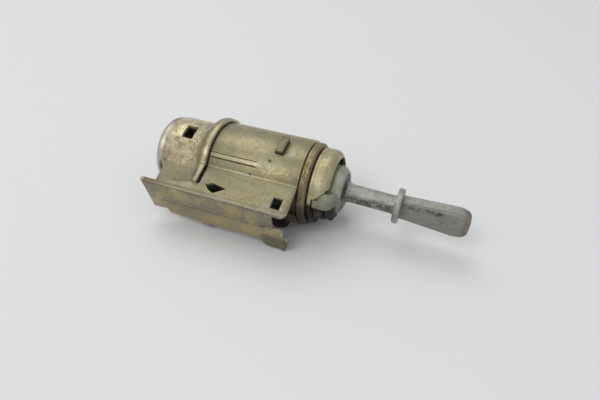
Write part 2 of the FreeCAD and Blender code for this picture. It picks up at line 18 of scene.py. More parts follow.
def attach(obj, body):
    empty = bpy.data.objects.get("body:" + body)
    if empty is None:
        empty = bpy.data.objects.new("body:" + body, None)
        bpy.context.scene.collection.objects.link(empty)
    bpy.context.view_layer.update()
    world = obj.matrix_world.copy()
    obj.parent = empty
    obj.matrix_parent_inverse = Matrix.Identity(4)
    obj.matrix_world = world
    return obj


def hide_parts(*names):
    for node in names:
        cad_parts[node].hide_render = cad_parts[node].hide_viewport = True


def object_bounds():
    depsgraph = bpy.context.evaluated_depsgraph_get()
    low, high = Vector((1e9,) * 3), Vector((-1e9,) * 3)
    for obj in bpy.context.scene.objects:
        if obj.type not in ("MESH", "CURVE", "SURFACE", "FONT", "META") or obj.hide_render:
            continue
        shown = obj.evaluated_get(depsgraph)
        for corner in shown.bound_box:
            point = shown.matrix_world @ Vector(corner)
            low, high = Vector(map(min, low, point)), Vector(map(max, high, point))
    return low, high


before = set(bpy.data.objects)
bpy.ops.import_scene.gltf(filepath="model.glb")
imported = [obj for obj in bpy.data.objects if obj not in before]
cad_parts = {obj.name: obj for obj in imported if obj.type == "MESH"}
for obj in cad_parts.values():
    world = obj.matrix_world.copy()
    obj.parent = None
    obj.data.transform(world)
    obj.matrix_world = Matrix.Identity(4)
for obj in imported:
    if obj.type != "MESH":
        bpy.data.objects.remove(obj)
cad_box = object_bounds()
MM = 0.001
print("nodes", len(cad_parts), "box", [[round(v, 4) for v in corner] for corner in cad_box])

# %% [markdown]
# ## The camera
#
# The photo is taken from above the bracket side with a short lens, so lines run together strongly
# towards the key end. A camera is easiest to reason about as a point that it looks at, two angles and
# a distance. The picture's centre falls on the barrel's axis under the rear band.

# %% Camera
LOOK_AT = Vector((0.03794, 0.0, -0.00706))
AZIMUTH = math.radians(21.23)
ELEVATION = math.radians(43.04)
ROLL = math.radians(-0.46)
DISTANCE = 0.12271
LENS = 27.0

back = Vector((math.sin(AZIMUTH) * math.cos(ELEVATION),
               -math.cos(AZIMUTH) * math.cos(ELEVATION),
               math.sin(ELEVATION)))
right = (-back).cross(Vector((0, 0, 1))).normalized()
up = back.cross(right)
tilted_right = right * math.cos(ROLL) + up * math.sin(ROLL)
tilted_up = up * math.cos(ROLL) - right * math.sin(ROLL)
turn = Matrix((tilted_right, tilted_up, back)).transposed().to_4x4()

bpy.ops.object.camera_add()
camera = bpy.context.object
camera.matrix_world = Matrix.Translation(LOOK_AT + back * DISTANCE) @ turn
camera.data.lens = LENS
camera.data.sensor_width = 36.0
camera.data.clip_start = 0.005
camera.data.clip_end = 20.0
bpy.context.scene.camera = camera
print("camera at", [round(v, 4) for v in camera.location])

# %% [markdown]
# ## Floor and light
#
# The table is a plain pale surface. A plane that is much larger than the object keeps its edge out of
# every view. The light in the photo is soft daylight from above. It leaves a long highlight on the upper
# near side of the barrel and only a faint shadow in front. So one wide lamp hangs behind and one in
# front, both over the key end, a weak one fills in from the right, and the sky does the rest.

# %% Floor
FLOOR_Z = cad_box[0][2]
bpy.ops.mesh.primitive_plane_add(size=6.0, location=(0.04, 0, FLOOR_Z - 0.00002))
floor = bpy.context.object
floor.name = "floor"
floor_paint = bpy.data.materials.new("floor_paint")
floor_paint.use_nodes = True
floor_shader = floor_paint.node_tree.nodes["Principled BSDF"]
floor_shader.inputs["Base Color"].default_value = (0.78, 0.78, 0.775, 1)
floor_shader.inputs["Roughness"].default_value = 0.6
floor.data.materials.append(floor_paint)


# %% Lamps
def lamp(name, place, size, watts, tint=(1, 1, 1)):
    """A square area lamp at this place, aimed at the barrel."""
    bpy.ops.object.light_add(type="AREA", location=place)
    light = bpy.context.object
    light.name = name
    light.data.size = size
    light.data.energy = watts
    light.data.color = tint
    aim = Vector((0.035, 0, 0)) - Vector(place)
    light.rotation_euler = aim.to_track_quat("-Z", "Y").to_euler()
    return light


lamp("window", (-0.3, 0.3, 0.85), 0.7, 3.0, (1.0, 0.99, 0.97))
lamp("front_lamp", (-0.3, -0.6, 0.88), 0.5, 3.0, (1.0, 0.99, 0.96))
lamp("right_fill", (0.7, -0.1, 0.6), 0.5, 0.4)
world = bpy.data.worlds.new("room")
bpy.context.scene.world = world
world.use_nodes = True
world.node_tree.nodes["Background"].inputs["Color"].default_value = (0.93, 0.96, 1.0, 1)
world.node_tree.nodes["Background"].inputs["Strength"].default_value = 0.5
bpy.context.scene.view_settings.view_transform = "Standard"

# %% [markdown]
# ## Small tools for building materials
#
# Every finish here is a stack of simple layers: a base colour, blotches in it, specks, streaks, dirt in
# the corners and bright wear on the edges. Each layer is a mask between 0 and 1. These helpers add a
# node, join two sockets and mix two colours by a mask, so that a material reads as its list of layers.


# %% Node helpers
def tone(red, green, blue):
    """A colour from a colour picker (0 to 255), made linear for the shader."""
    return tuple(((v / 255 + 0.055) / 1.055) ** 2.4 for v in (red, green, blue)) + (1.0,)


def put(tree, kind, inputs=None, **settings):
    """Add a node. Settings are its own options, inputs are values or sockets by socket name or number."""
    node = tree.nodes.new(kind)
    for key, value in settings.items():
        setattr(node, key, value)
    for key, value in (inputs or {}).items():
        if isinstance(value, bpy.types.NodeSocket):
            tree.links.new(value, node.inputs[key])
        else:
            node.inputs[key].default_value = value
    return node


def maths(tree, operation, first, second=0.0, clamp=False):
    """One sum on one or two values."""
    return put(tree, "ShaderNodeMath", {0: first, 1: second}, operation=operation, use_clamp=clamp).outputs[0]


def times(first, *others):
    """The product of several masks. The first is a socket, and its id_data is the tree that it is in."""
    for other in others:
        first = maths(first.id_data, "MULTIPLY", first, other)
    return first


def ramp(value, low, high, start=0.0, end=1.0, kind="SMOOTHSTEP"):
    """A mask that goes from start to end while the value goes from low to high."""
    inputs = {"Value": value, "From Min": low, "From Max": high, "To Min": start, "To Max": end}
    return put(value.id_data, "ShaderNodeMapRange", inputs, interpolation_type=kind).outputs[0]


def blend_colours(mask, below, above):
    """The colour below where the mask is 0, and the colour above where it is 1."""
    return put(mask.id_data, "ShaderNodeMix", {0: mask, 6: below, 7: above}, data_type="RGBA").outputs[2]


def layer(colour, mask, strength, tint):
    """Lay a tint (0 to 255) over the colour where the mask is, at this strength."""
    return blend_colours(times(mask, strength), colour, tone(*tint))


def new_group(name, inputs, output="Mask"):
    """A shader node group with named number inputs and one or more number outputs."""
    group = bpy.data.node_groups.new(name, "ShaderNodeTree")
    for label, value in inputs.items():
        group.interface.new_socket(label, in_out="INPUT", socket_type="NodeSocketFloat").default_value = value
    for label in output.split():
        group.interface.new_socket(label, in_out="OUTPUT", socket_type="NodeSocketFloat")
    return group, put(group, "NodeGroupInput").outputs, put(group, "NodeGroupOutput").inputs


def use(tree, name, inputs=None):
    """Place a group in a material with its own values, and give back its outputs."""
    return put(tree, "ShaderNodeGroup", inputs, node_tree=bpy.data.node_groups[name]).outputs


def place_in_mm(tree, stretch=(1, 1, 1)):
    """Object coordinates in millimetres, which suit patterns of this size."""
    source = put(tree, "ShaderNodeTexCoord").outputs["Object"]
    scale = tuple(1000 * s for s in stretch)
    return put(tree, "ShaderNodeMapping", {"Vector": source, "Scale": scale}, vector_type="POINT").outputs[0]


def object_noise(tree, scale, detail):
    """Plain noise with this many waves to a millimetre."""
    node = put(tree, "ShaderNodeTexNoise", {"Vector": place_in_mm(tree), "Scale": scale, "Detail": detail})
    return node.outputs[0]


def distance_to(tree, x, y, z):
    """How far the surface is from one place, in millimetres."""
    centre = put(tree, "ShaderNodeCombineXYZ", {0: x, 1: y, 2: z}).outputs[0]
    node = put(tree, "ShaderNodeVectorMath", {0: place_in_mm(tree), 1: centre}, operation="DISTANCE")
    return node.outputs["Value"]


# %% [markdown]
# ## Shared effects
#
# Blotches are large soft patches where the yellow coat has thinned or stained. Specks are pits and dirt
# points. Streaks run along the barrel, as drawing marks on sheet do. Two groups give places in words
# that suit this object: how far along the barrel, at which angle round it and at which radius, and how
# far down the folded face. A band mask switches a layer on between two such places.

# %% Blotches and specks
group, given, out = new_group("Blotches", {"Size": 3.0, "Level": 0.5, "Softness": 0.08, "Seed": 0.0,
                                           "Roughness": 0.6})
cells = put(group, "ShaderNodeTexNoise", {"Vector": place_in_mm(group), "W": given["Seed"],
            "Scale": maths(group, "DIVIDE", 1.0, given["Size"]), "Detail": 4.0, "Distortion": 0.4,
            "Roughness": given["Roughness"]}, noise_dimensions="4D")
low = maths(group, "SUBTRACT", given["Level"], given["Softness"])
high = maths(group, "ADD", given["Level"], given["Softness"])
group.links.new(ramp(cells.outputs[0], low, high), out[0])

group, given, out = new_group("Specks", {"Size": 0.4, "Amount": 0.3, "Seed": 0.0})
spots = put(group, "ShaderNodeTexVoronoi", {"Vector": place_in_mm(group), "W": given["Seed"],
            "Scale": maths(group, "DIVIDE", 1.0, given["Size"])}, voronoi_dimensions="4D")
gate = put(group, "ShaderNodeTexNoise", {"Vector": place_in_mm(group), "W": given["Seed"],
           "Scale": maths(group, "DIVIDE", 0.4, given["Size"]), "Detail": 2.0}, noise_dimensions="4D")
reach = times(gate.outputs[0], gate.outputs[0], given["Amount"])
group.links.new(ramp(spots.outputs["Distance"], reach, times(reach, 1.5), 1.0, 0.0, "LINEAR"), out[0])


# %% Streaks
group, given, out = new_group("Streaks", {"Size": 0.15, "Stretch": 0.03, "Level": 0.62, "Seed": 0.0})
stretch = put(group, "ShaderNodeCombineXYZ", {0: given["Stretch"], 1: 1.0, 2: 1.0}).outputs[0]
stretched = put(group, "ShaderNodeVectorMath", {0: place_in_mm(group), 1: stretch}, operation="MULTIPLY")
lines = put(group, "ShaderNodeTexNoise", {"Vector": stretched.outputs[0], "W": given["Seed"],
            "Scale": maths(group, "DIVIDE", 1.0, given["Size"]), "Detail": 3.0}, noise_dimensions="4D")
high = maths(group, "ADD", given["Level"], 0.12)
group.links.new(ramp(lines.outputs[0], given["Level"], high, kind="LINEAR"), out[0])

# %% Places on the barrel and on the bracket
group, given, out = new_group("Barrel place", {}, "Along Angle Radius")
axes = put(group, "ShaderNodeSeparateXYZ", {0: place_in_mm(group)}).outputs
group.links.new(axes[0], out[0])
toward = times(axes[1], -1.0)
angle = times(maths(group, "ARCTAN2", axes[2], toward), 180 / math.pi)
group.links.new(angle, out[1])
square = maths(group, "ADD", maths(group, "POWER", toward, 2.0), maths(group, "POWER", axes[2], 2.0))
group.links.new(maths(group, "SQRT", square), out[2])

CREASE = Vector((0.0, -9.2254, 5.9910))
WING_OUT = Vector((0.0, -0.93969, -0.34202))
FOLD = CREASE + WING_OUT * 8.25
FACE_DOWN = Vector((0.0, 0.07846, -0.99692))
group, given, out = new_group("Bracket place", {}, "Along Out Down")
spot = place_in_mm(group)
group.links.new(put(group, "ShaderNodeSeparateXYZ", {0: spot}).outputs[0], out[0])
for number, direction, start in ((1, WING_OUT, CREASE), (2, FACE_DOWN, FOLD)):
    reach = put(group, "ShaderNodeVectorMath", {0: spot, 1: direction}, operation="DOT_PRODUCT")
    reach = reach.outputs["Value"]
    group.links.new(maths(group, "SUBTRACT", reach, start.dot(direction)), out[number])

# %% Bands and spots
group, given, out = new_group("Band", {"Value": 0.0, "From": 0.0, "To": 1.0, "Softness": 0.2})
masks = []
for name, first, last in (("From", 0.0, 1.0), ("To", 1.0, 0.0)):
    low = maths(group, "SUBTRACT", given[name], given["Softness"])
    high = maths(group, "ADD", given[name], given["Softness"])
    masks.append(ramp(given["Value"], low, high, first, last))
group.links.new(times(*masks), out[0])

group, given, out = new_group("Spot", {"X": 0.0, "Y": 0.0, "Z": 0.0, "Reach": 1.0, "Ragged": 0.3})
away = distance_to(group, given["X"], given["Y"], given["Z"])
ripple = object_noise(group, 1.6, 3.0)
ragged = times(maths(group, "SUBTRACT", ripple, 0.5), given["Ragged"])
near = maths(group, "ADD", maths(group, "DIVIDE", away, given["Reach"]), ragged)
group.links.new(ramp(near, 0.6, 1.0, 1.0, 0.0), out[0])


def band(value, start, end, softness=0.2):
    """A mask that is 1 where the value lies between start and end."""
    return use(value.id_data, "Band", {"Value": value, "From": start, "To": end, "Softness": softness})[0]


def near_point(tree, place, reach, ragged):
    """A mask round one place, given in millimetres, with a ragged rim."""
    x, y, z = place
    return use(tree, "Spot", {"X": x, "Y": y, "Z": z, "Reach": reach, "Ragged": ragged})[0]


def blotches(tree, size, level, softness, seed=0.0, roughness=0.6):
    """Patches of this size. A higher level leaves fewer of them."""
    return use(tree, "Blotches", {"Size": size, "Level": level, "Softness": softness, "Seed": seed,
                                  "Roughness": roughness})[0]


def specks(tree, size, amount, seed):
    """Small dark points in clusters."""
    return use(tree, "Specks", {"Size": size, "Amount": amount, "Seed": seed})[0]


# %% [markdown]
# ## Edge wear and painted corner shade
#
# Where two faces meet outwards, hands and neighbours rub the coat off and the metal shines through. An
# inside corner is painted darker as shade. The bevelled pieces below carry an attribute that is 1 on an
# outer edge and -1 in an inner corner. This group turns it into two masks and breaks up the wear mask
# with noise.

# %% Edge wear
group, given, out = new_group("Edge wear", {"Cover": 0.5, "Size": 0.7}, "Bright Dirty")
edge = put(group, "ShaderNodeAttribute", None, attribute_name="edge").outputs["Fac"]
noise = object_noise(group, maths(group, "DIVIDE", 1.0, given["Size"]), 3.0)
broken = maths(group, "ADD", given["Cover"], maths(group, "SUBTRACT", noise, 0.5))
group.links.new(maths(group, "MULTIPLY", maths(group, "MAXIMUM", edge, 0.0), broken, clamp=True), out[0])
group.links.new(maths(group, "MULTIPLY", maths(group, "MINIMUM", edge, 0.0), -1.0, clamp=True), out[1])

# %% [markdown]
# ## The finishes
#
# Sheet steel with a yellow zinc coat makes up most of what is seen. It is olive where the coat is whole,
# grey where it has thinned and brown where grease has stained it. The folded face is greyer than the
# wing, the front band is paler and pitted, and dirt lies beside the slit and the rear edge. Painted
# highlights lie on the tongue, the crease and the fold. Painted shade lies on the outer wing, the lip's
# flank, under the fold and the step, on the tab and the hook and in inside corners. Each of these is a
# place mask times a pattern.


# %% Sheet finish
def new_paint(name):
    """A material with its tree and its shader."""
    paint = bpy.data.materials.new(name)
    paint.use_nodes = True
    return paint, paint.node_tree, paint.node_tree.nodes["Principled BSDF"]


def complete(tree, shader, colour, rough, metallic, height, depth):
    """Join the finished layers to the shader. The height is a bump of this depth in metres."""
    bump = put(tree, "ShaderNodeBump", {"Height": height, "Distance": depth, "Strength": 1.0})
    tree.links.new(colour, shader.inputs["Base Color"])
    tree.links.new(rough, shader.inputs["Roughness"])
    shader.inputs["Metallic"].default_value = metallic
    tree.links.new(bump.outputs[0], shader.inputs["Normal"])


sheet_paint, tree, shader = new_paint("yellow_passivated_sheet")
along, angle, radius = use(tree, "Barrel place")
_, out_on_wing, down = use(tree, "Bracket place")
patches = blotches(tree, 3.2, 0.52, 0.1)
fine_patches = blotches(tree, 0.9, 0.55, 0.12, 3.0)
grey_patches = blotches(tree, 4.5, 0.52, 0.12, 7.0)
colour = blend_colours(patches, tone(152, 143, 106), tone(166, 156, 112))
on_wing = band(out_on_wing, 0.2, 20.0, 0.5)
colour = layer(colour, on_wing, 0.6, (130, 121, 88))
# Painted shade: the wing darkens further out, towards the fold.
far_out_shade = band(out_on_wing, 4.5, 20.0, 2.5)
colour = layer(colour, far_out_shade, 0.55, (116, 108, 80))
colour = layer(colour, grey_patches, 0.7, (146, 141, 122))
colour = layer(colour, fine_patches, 0.35, (122, 112, 82))

on_barrel = band(radius, 7.0, 12.0, 0.2)
front = times(band(along, 0.0, 13.0, 1.2), on_barrel)
colour = layer(colour, front, 0.9, (222, 208, 172))
brown = blotches(tree, 1.6, 0.54, 0.08, 11.0)
colour = layer(colour, times(front, brown), 0.6, (136, 116, 80))
low_front = times(front, band(angle, -60.0, 42.0, 8.0))
colour = layer(colour, low_front, 0.42, (126, 110, 82))
cracks = put(tree, "ShaderNodeTexVoronoi", {"Vector": place_in_mm(tree), "Scale": 0.9},
             feature="DISTANCE_TO_EDGE")
veins = ramp(cracks.outputs[0], 0.0, 0.09, 1.0, 0.0, "LINEAR")
veined = blotches(tree, 2.2, 0.5, 0.1, 17.0)
near_lip = band(along, 8.5, 13.4, 1.5)
high_up = band(angle, 62.0, 180.0, 12.0)
veins = times(veins, veined, near_lip, high_up, on_barrel)
colour = layer(colour, veins, 0.75, (66, 52, 36))
pits = specks(tree, 0.38, 0.9, 2.0)
pitted = times(pits, maths(tree, "ADD", times(front, 0.8), 0.12))
colour = layer(colour, pitted, 1.0, (62, 50, 36))

# A painted highlight along the tongue, where the long reflection lies on the barrel.
tongue = times(band(angle, 45.5, 52.5, 2.0), band(along, 14.0, 30.0, 1.0))
colour = layer(colour, tongue, 0.8, (190, 180, 148))
for x, y, z, reach, strength, dark in ((32.53, -5.92, 9.27, 0.55, 0.85, (50, 42, 28)),
                                       (28.35, -9.0, 6.2, 0.5, 0.8, (60, 50, 34)),
                                       (14.9, -12.1, 4.95, 1.6, 0.5, (96, 74, 48)),
                                       (17.3, -15.2, 3.8, 2.4, 0.35, (104, 88, 60)),
                                       (40.3, -8.6, 6.6, 1.5, 0.4, (110, 100, 72))):
    spot = near_point(tree, (x, y, z), reach, 0.9)
    colour = layer(colour, spot, strength, dark)

face = band(down, 0.25, 20.0, 0.15)
on_face = times(face, band(out_on_wing, 6.0, 20.0))
face_patches = blotches(tree, 3.2, 0.53, 0.07, 5.0)
below = band(down, 6.3, 20.0, 0.15)
greyer = blend_colours(face_patches, tone(134, 127, 113), tone(172, 155, 108))
warmer = blend_colours(face_patches, tone(160, 150, 122), tone(184, 167, 120))
face_colour = blend_colours(below, greyer, warmer)
for x, y, z, reach in ((11.6, -16.7, 1.4, 2.0), (27.0, -16.8, 0.6, 2.6), (31.6, -16.7, -0.2, 2.4),
                       (5.2, -16.6, -2.2, 1.8), (20.4, -16.3, -6.2, 2.6), (31.0, -16.3, -5.6, 2.6)):
    spot = near_point(tree, (x, y, z), reach, 1.6)
    face_colour = layer(face_colour, spot, 0.75, (182, 164, 112))
stains = blotches(tree, 0.7, 0.56, 0.1, 15.0)
face_colour = layer(face_colour, stains, 0.45, (104, 94, 72))
near_notch = band(along, 33.5, 60.0, 1.2)
upper_face = maths(tree, "SUBTRACT", 1.0, below)
face_colour = layer(face_colour, times(near_notch, upper_face), 0.7, (124, 122, 112))
# Painted shade on the tab and on the hook, which lie low under the barrel.
tab_shade = times(band(down, 9.0, 20.0, 1.0), near_notch)
face_colour = layer(face_colour, tab_shade, 0.9, (88, 81, 68))
hook_shade = band(along, 39.4, 60.0, 0.15)
face_colour = layer(face_colour, hook_shade, 0.7, (70, 66, 60))
colour = blend_colours(times(on_face, 0.9), colour, face_colour)
grit = blotches(tree, 0.45, 0.47, 0.1, 19.0)
past_corner = band(along, 5.6, 36.8, 0.3)
# Painted shade lines on the folded face: one under the round of the fold, one under the step's overhang.
for first, last, fade, strength, dark in ((0.42, 0.8, 0.2, 0.6, (64, 54, 38)),
                                          (6.02, 6.5, 0.1, 1.0, (30, 24, 18))):
    broken = maths(tree, "ADD", 0.55, times(grit, 0.45))
    line = times(band(down, first, last, fade), on_face, past_corner, broken)
    colour = layer(colour, line, strength, dark)
# A painted highlight along the round of the fold, with grit in it.
fold_line = times(band(out_on_wing, 7.98, 9.0, 0.1), band(down, -1.0, 0.3, 0.12))
colour = layer(colour, fold_line, 0.95, (204, 196, 176))
colour = layer(colour, times(fold_line, grit), 0.5, (100, 80, 68))
rusty = times(band(along, -1.0, 6.0, 2.0), band(down, -2.0, 1.2, 0.6),
              band(out_on_wing, 6.6, 20.0))
colour = layer(colour, rusty, 0.5, (96, 74, 58))

# A painted highlight on the crease's ridge and painted shade along its foot.
crease = times(band(angle, 29.0, 37.0, 1.0), band(along, 14.5, 50.0))
ridge_highlight = times(crease, band(out_on_wing, -0.12, 0.12, 0.08))
foot = times(crease, band(out_on_wing, 0.3, 0.45, 0.12))
colour = layer(colour, ridge_highlight, 0.65, (206, 196, 158))
colour = layer(colour, foot, 0.45, (84, 74, 50))

gritty = maths(tree, "ADD", 0.02, times(grit, 0.32))
lip_foot = times(band(along, 11.6, 13.3, 0.7), gritty, on_barrel)
colour = layer(colour, lip_foot, 1.0, (92, 74, 48))
# Painted shade on the flank of the lip's flare.
lip_side_shade = times(band(along, 13.8, 15.3, 0.4), on_barrel)
colour = layer(colour, lip_side_shade, 0.5, (104, 90, 60))
lip_edge = times(band(along, 15.45, 16.1, 0.1), band(out_on_wing, -50.0, 5.3, 0.2))
colour = layer(colour, lip_edge, 0.45, (206, 194, 158))
greasy = times(band(angle, -120.0, 14.0, 8.0), band(along, 35.0, 60.0, 2.5),
               band(radius, 9.0, 11.4, 0.2))
colour = layer(colour, greasy, 0.92, (30, 25, 18))

wear_bright, corner_shade = use(tree, "Edge wear", {"Cover": 0.75, "Size": 0.8})
wear_bright = times(wear_bright, maths(tree, "SUBTRACT", 1.0, greasy))
colour = layer(colour, wear_bright, 0.8, (205, 198, 176))
# Painted shade in the inside corners.
colour = layer(colour, corner_shade, 0.75, (52, 44, 30))
speckle = blotches(tree, 0.32, 0.56, 0.1, 25.0, 0.8)
colour = layer(colour, speckle, 0.4, (186, 174, 132))
dimmer = blotches(tree, 0.4, 0.57, 0.08, 27.0, 0.8)
colour = layer(colour, dimmer, 0.4, (100, 90, 64))
streaks = use(tree, "Streaks", {"Size": 0.2, "Stretch": 0.04, "Level": 0.6})[0]
colour = layer(colour, streaks, 0.3, (112, 102, 76))

rough = maths(tree, "ADD", 0.34, times(fine_patches, 0.14))
for mask, change in ((pitted, 0.2), (front, -0.06), (wear_bright, -0.12)):
    rough = maths(tree, "ADD", rough, times(mask, change))
height = object_noise(tree, 0.45, 2.0)
for mask, change in ((object_noise(tree, 3.0, 5.0), 0.5), (veins, -0.5), (pitted, -0.3), (ridge_highlight, 1.2),
                     (streaks, -0.06)):
    height = maths(tree, "ADD", height, times(mask, change))
complete(tree, shader, colour, rough, 0.45, height, 0.00006)

# %% [markdown]
# The rear cap is drawn from the same coated sheet. It is cleaner and tanner, with a bright worn rim. Its
# shadowed inside is painted near black as shade.

# %% Rear cap finish
cap_sheet_paint, tree, shader = new_paint("tan_drawn_sheet")
along, angle, radius = use(tree, "Barrel place")
patches = blotches(tree, 2.0, 0.5, 0.12, 21.0)
colour = blend_colours(patches, tone(184, 174, 140), tone(166, 155, 116))
stain = blotches(tree, 1.1, 0.6, 0.06, 9.0)
colour = layer(colour, stain, 0.4, (118, 106, 76))
streaks = use(tree, "Streaks", {"Size": 0.25, "Stretch": 0.2, "Level": 0.6, "Seed": 4.0})[0]
colour = layer(colour, streaks, 0.25, (120, 110, 82))
# Painted shade: the inside of the cap is near black, and the grease on the lower near side joins it.
inner = times(band(radius, 0.0, 8.95, 0.05), band(along, 43.0, 47.0))
grease = band(angle, -100.0, 12.0, 5.0)
colour = layer(colour, maths(tree, "MAXIMUM", inner, grease), 1.0, (26, 22, 17))
wear_bright = use(tree, "Edge wear", {"Cover": 0.9, "Size": 1.0})[0]
clean = maths(tree, "SUBTRACT", 1.0, grease)
colour = layer(colour, times(wear_bright, clean), 0.85, (214, 205, 180))
rough = maths(tree, "ADD", 0.42, times(stain, 0.15))
complete(tree, shader, colour, rough, 0.4, object_noise(tree, 2.2, 5.0), 0.00005)

# %% [markdown]
# The face cap is bright drawn steel. A polishing wheel has left fine rings round it, and old dirt sits
# low down where it meets the sleeve.

# %% Face cap finish
bright_paint, tree, shader = new_paint("polished_cap_steel")
along, angle, _ = use(tree, "Barrel place")
rings = put(tree, "ShaderNodeTexNoise", {"Vector": place_in_mm(tree, (9.0, 0.15, 0.15)), "Scale": 1.0,
            "Detail": 4.0}).outputs[0]
smears = blotches(tree, 2.4, 0.5, 0.2, 31.0)
colour = blend_colours(rings, tone(196, 188, 178), tone(226, 220, 210))
colour = layer(colour, smears, 0.3, (170, 158, 140))
# Painted shade on the top and far side of the cap.
top_shade = band(angle, 68.0, 180.0, 14.0)
colour = layer(colour, top_shade, 0.5, (140, 132, 116))
dirt = times(band(angle, -60.0, 20.0, 9.0), band(along, 1.5, 3.0, 0.5), 0.9)
colour = layer(colour, dirt, 1.0, (40, 32, 24))
rough = maths(tree, "ADD", 0.2, times(rings, 0.2))
for mask, change in ((smears, 0.08), (dirt, 0.3)):
    rough = maths(tree, "ADD", rough, times(mask, change))
complete(tree, shader, colour, rough, 1.0, rings, 0.00002)
tree.links.new(maths(tree, "SUBTRACT", 1.0, dirt), shader.inputs["Metallic"])

# %% [markdown]
# The ring behind the sleeve is bronze gone brown, with grey rubbed edges and black grease underneath.

# %% Ring finish
ring_paint, tree, shader = new_paint("brown_bronze")
along, angle, _ = use(tree, "Barrel place")
patches = blotches(tree, 1.5, 0.5, 0.1, 41.0)
colour = blend_colours(patches, tone(160, 147, 104), tone(138, 122, 84))
copper = blotches(tree, 1.9, 0.56, 0.07, 43.0)
lower_half = band(angle, -60.0, 38.0, 12.0)
colour = layer(colour, lower_half, 0.5, (122, 98, 66))
colour = layer(colour, copper, 0.5, (136, 102, 66))
rear_edge = band(along, 42.35, 43.5, 0.1)
colour = layer(colour, rear_edge, 0.8, (128, 120, 100))
grime = specks(tree, 0.5, 1.1, 6.0)
colour = layer(colour, grime, 0.7, (58, 46, 32))
grease = band(angle, -130.0, 6.0, 14.0)
colour = layer(colour, grease, 0.75, (40, 32, 22))
rough = maths(tree, "ADD", 0.42, times(patches, 0.15))
complete(tree, shader, colour, rough, 0.5, object_noise(tree, 2.5, 5.0), 0.00003)

# %% [markdown]
# The driver is a zinc die casting. Its skin is dull blue-grey, slightly green on the hub, with a fine
# grain from the die, dark points where gas has left pores and dirty patches on its sides.

# %% Casting finish
zinc_paint, tree, shader = new_paint("die_cast_zinc")
along, angle, _ = use(tree, "Barrel place")
patches = blotches(tree, 2.6, 0.5, 0.14, 51.0)
colour = blend_colours(patches, tone(170, 173, 164), tone(150, 152, 142))
on_hub = band(along, 40.0, 50.2, 0.5)
olive = blotches(tree, 1.8, 0.5, 0.12, 53.0)
hub_colour = blend_colours(olive, tone(180, 186, 174), tone(166, 166, 130))
colour = blend_colours(times(on_hub, 0.8), colour, hub_colour)
low_hub = band(angle, -80.0, 24.0, 14.0)
colour = layer(colour, times(on_hub, low_hub), 0.65, (114, 112, 98))
sides = put(tree, "ShaderNodeSeparateXYZ", {0: place_in_mm(tree)}).outputs
on_blade = band(along, 64.8, 90.0, 0.1)
# Painted shade on the blade's near side, below its lighter top.
near_side = times(on_blade, band(sides[1], -5.0, -1.32, 0.2))
colour = layer(colour, near_side, 0.7, (128, 126, 121))
under_edge = band(sides[2], 1.0, 2.5, 0.6)
smear = times(blotches(tree, 1.1, 0.5, 0.07, 55.0), under_edge, near_side,
              band(along, 65.5, 75.0, 1.5))
colour = layer(colour, smear, 0.8, (78, 72, 74))
blade_end = band(along, 79.6, 90.0, 0.7)
colour = layer(colour, blade_end, 0.7, (118, 104, 86))
dull = blotches(tree, 1.2, 0.58, 0.08, 57.0)
colour = layer(colour, dull, 0.35, (112, 108, 102))
for x, y, z, reach, strength, dark in ((57.0, -2.4, 0.0, 0.85, 0.55, (66, 66, 58)),
                                       (55.0, -2.3, -0.9, 1.2, 0.5, (72, 70, 60)),
                                       (62.4, -2.3, -0.5, 1.1, 0.5, (92, 84, 64)),
                                       (73.9, -1.9, 1.9, 0.9, 0.6, (70, 68, 66))):
    spot = near_point(tree, (x, y, z), reach, 0.9)
    colour = layer(colour, spot, strength, dark)
for x, y, z, size in ((75.4, -2.2, -1.1, 0.85), (57.0, -2.35, 0.1, 0.5)):
    circle = band(distance_to(tree, x, y, z), size - 0.08, size + 0.08, 0.06)
    colour = layer(colour, circle, 0.6, (84, 82, 74))
seam = times(band(angle, 52.0, 53.5, 0.8), band(along, 51.5, 63.0, 0.5))
colour = layer(colour, seam, 0.45, (104, 106, 98))
pores = specks(tree, 0.42, 1.15, 8.0)
under = band(angle, -70.0, 25.0, 14.0)
root_line = band(along, 50.4, 51.1, 0.15)
rod_part = band(along, 50.0, 63.0, 1.5)
dotted = maths(tree, "MAXIMUM", root_line, times(under, rod_part))
coarse = specks(tree, 0.62, 1.7, 12.0)
pored = times(pores, maths(tree, "ADD", times(dotted, 0.8), 0.15))
pored = maths(tree, "MAXIMUM", pored, times(coarse, dotted, 0.8))
colour = layer(colour, pored, 1.0, (50, 48, 42))
colour = layer(colour, times(under, rod_part), 0.35, (106, 106, 96))
ring_dirt = blotches(tree, 0.4, 0.5, 0.1, 59.0)
colour = layer(colour, times(root_line, ring_dirt), 0.75, (52, 52, 44))
wear_bright, corner_shade = use(tree, "Edge wear", {"Cover": 0.7, "Size": 0.8})
colour = layer(colour, wear_bright, 0.35, (190, 192, 184))
# Painted shade in the inside corners.
colour = layer(colour, corner_shade, 0.7, (50, 48, 42))
rough = maths(tree, "ADD", 0.42, times(patches, 0.12))
height = maths(tree, "SUBTRACT", object_noise(tree, 4.0, 5.0), times(pored, 0.8))
complete(tree, shader, colour, rough, 0.4, height, 0.00004)

# %% [markdown]
# The housing is the same casting. Only its lug stands clear of the sleeve, rubbed to the sleeve's olive
# brown, with painted shade on its sides. The rest lies in shadow behind gaps, painted nearly black as shade.

# %% Housing finish
housing_paint, tree, shader = new_paint("housing_zinc_and_shade")
radius = use(tree, "Barrel place")[2]
clear = band(radius, 10.6, 13.0, 0.3)
patches = blotches(tree, 1.0, 0.5, 0.12, 61.0)
lug_colour = blend_colours(patches, tone(140, 130, 100), tone(118, 108, 82))
# Painted shade: what lies behind the gaps is near black.
shade_colour = blend_colours(patches, tone(40, 35, 27), tone(62, 55, 44))
colour = blend_colours(clear, shade_colour, lug_colour)
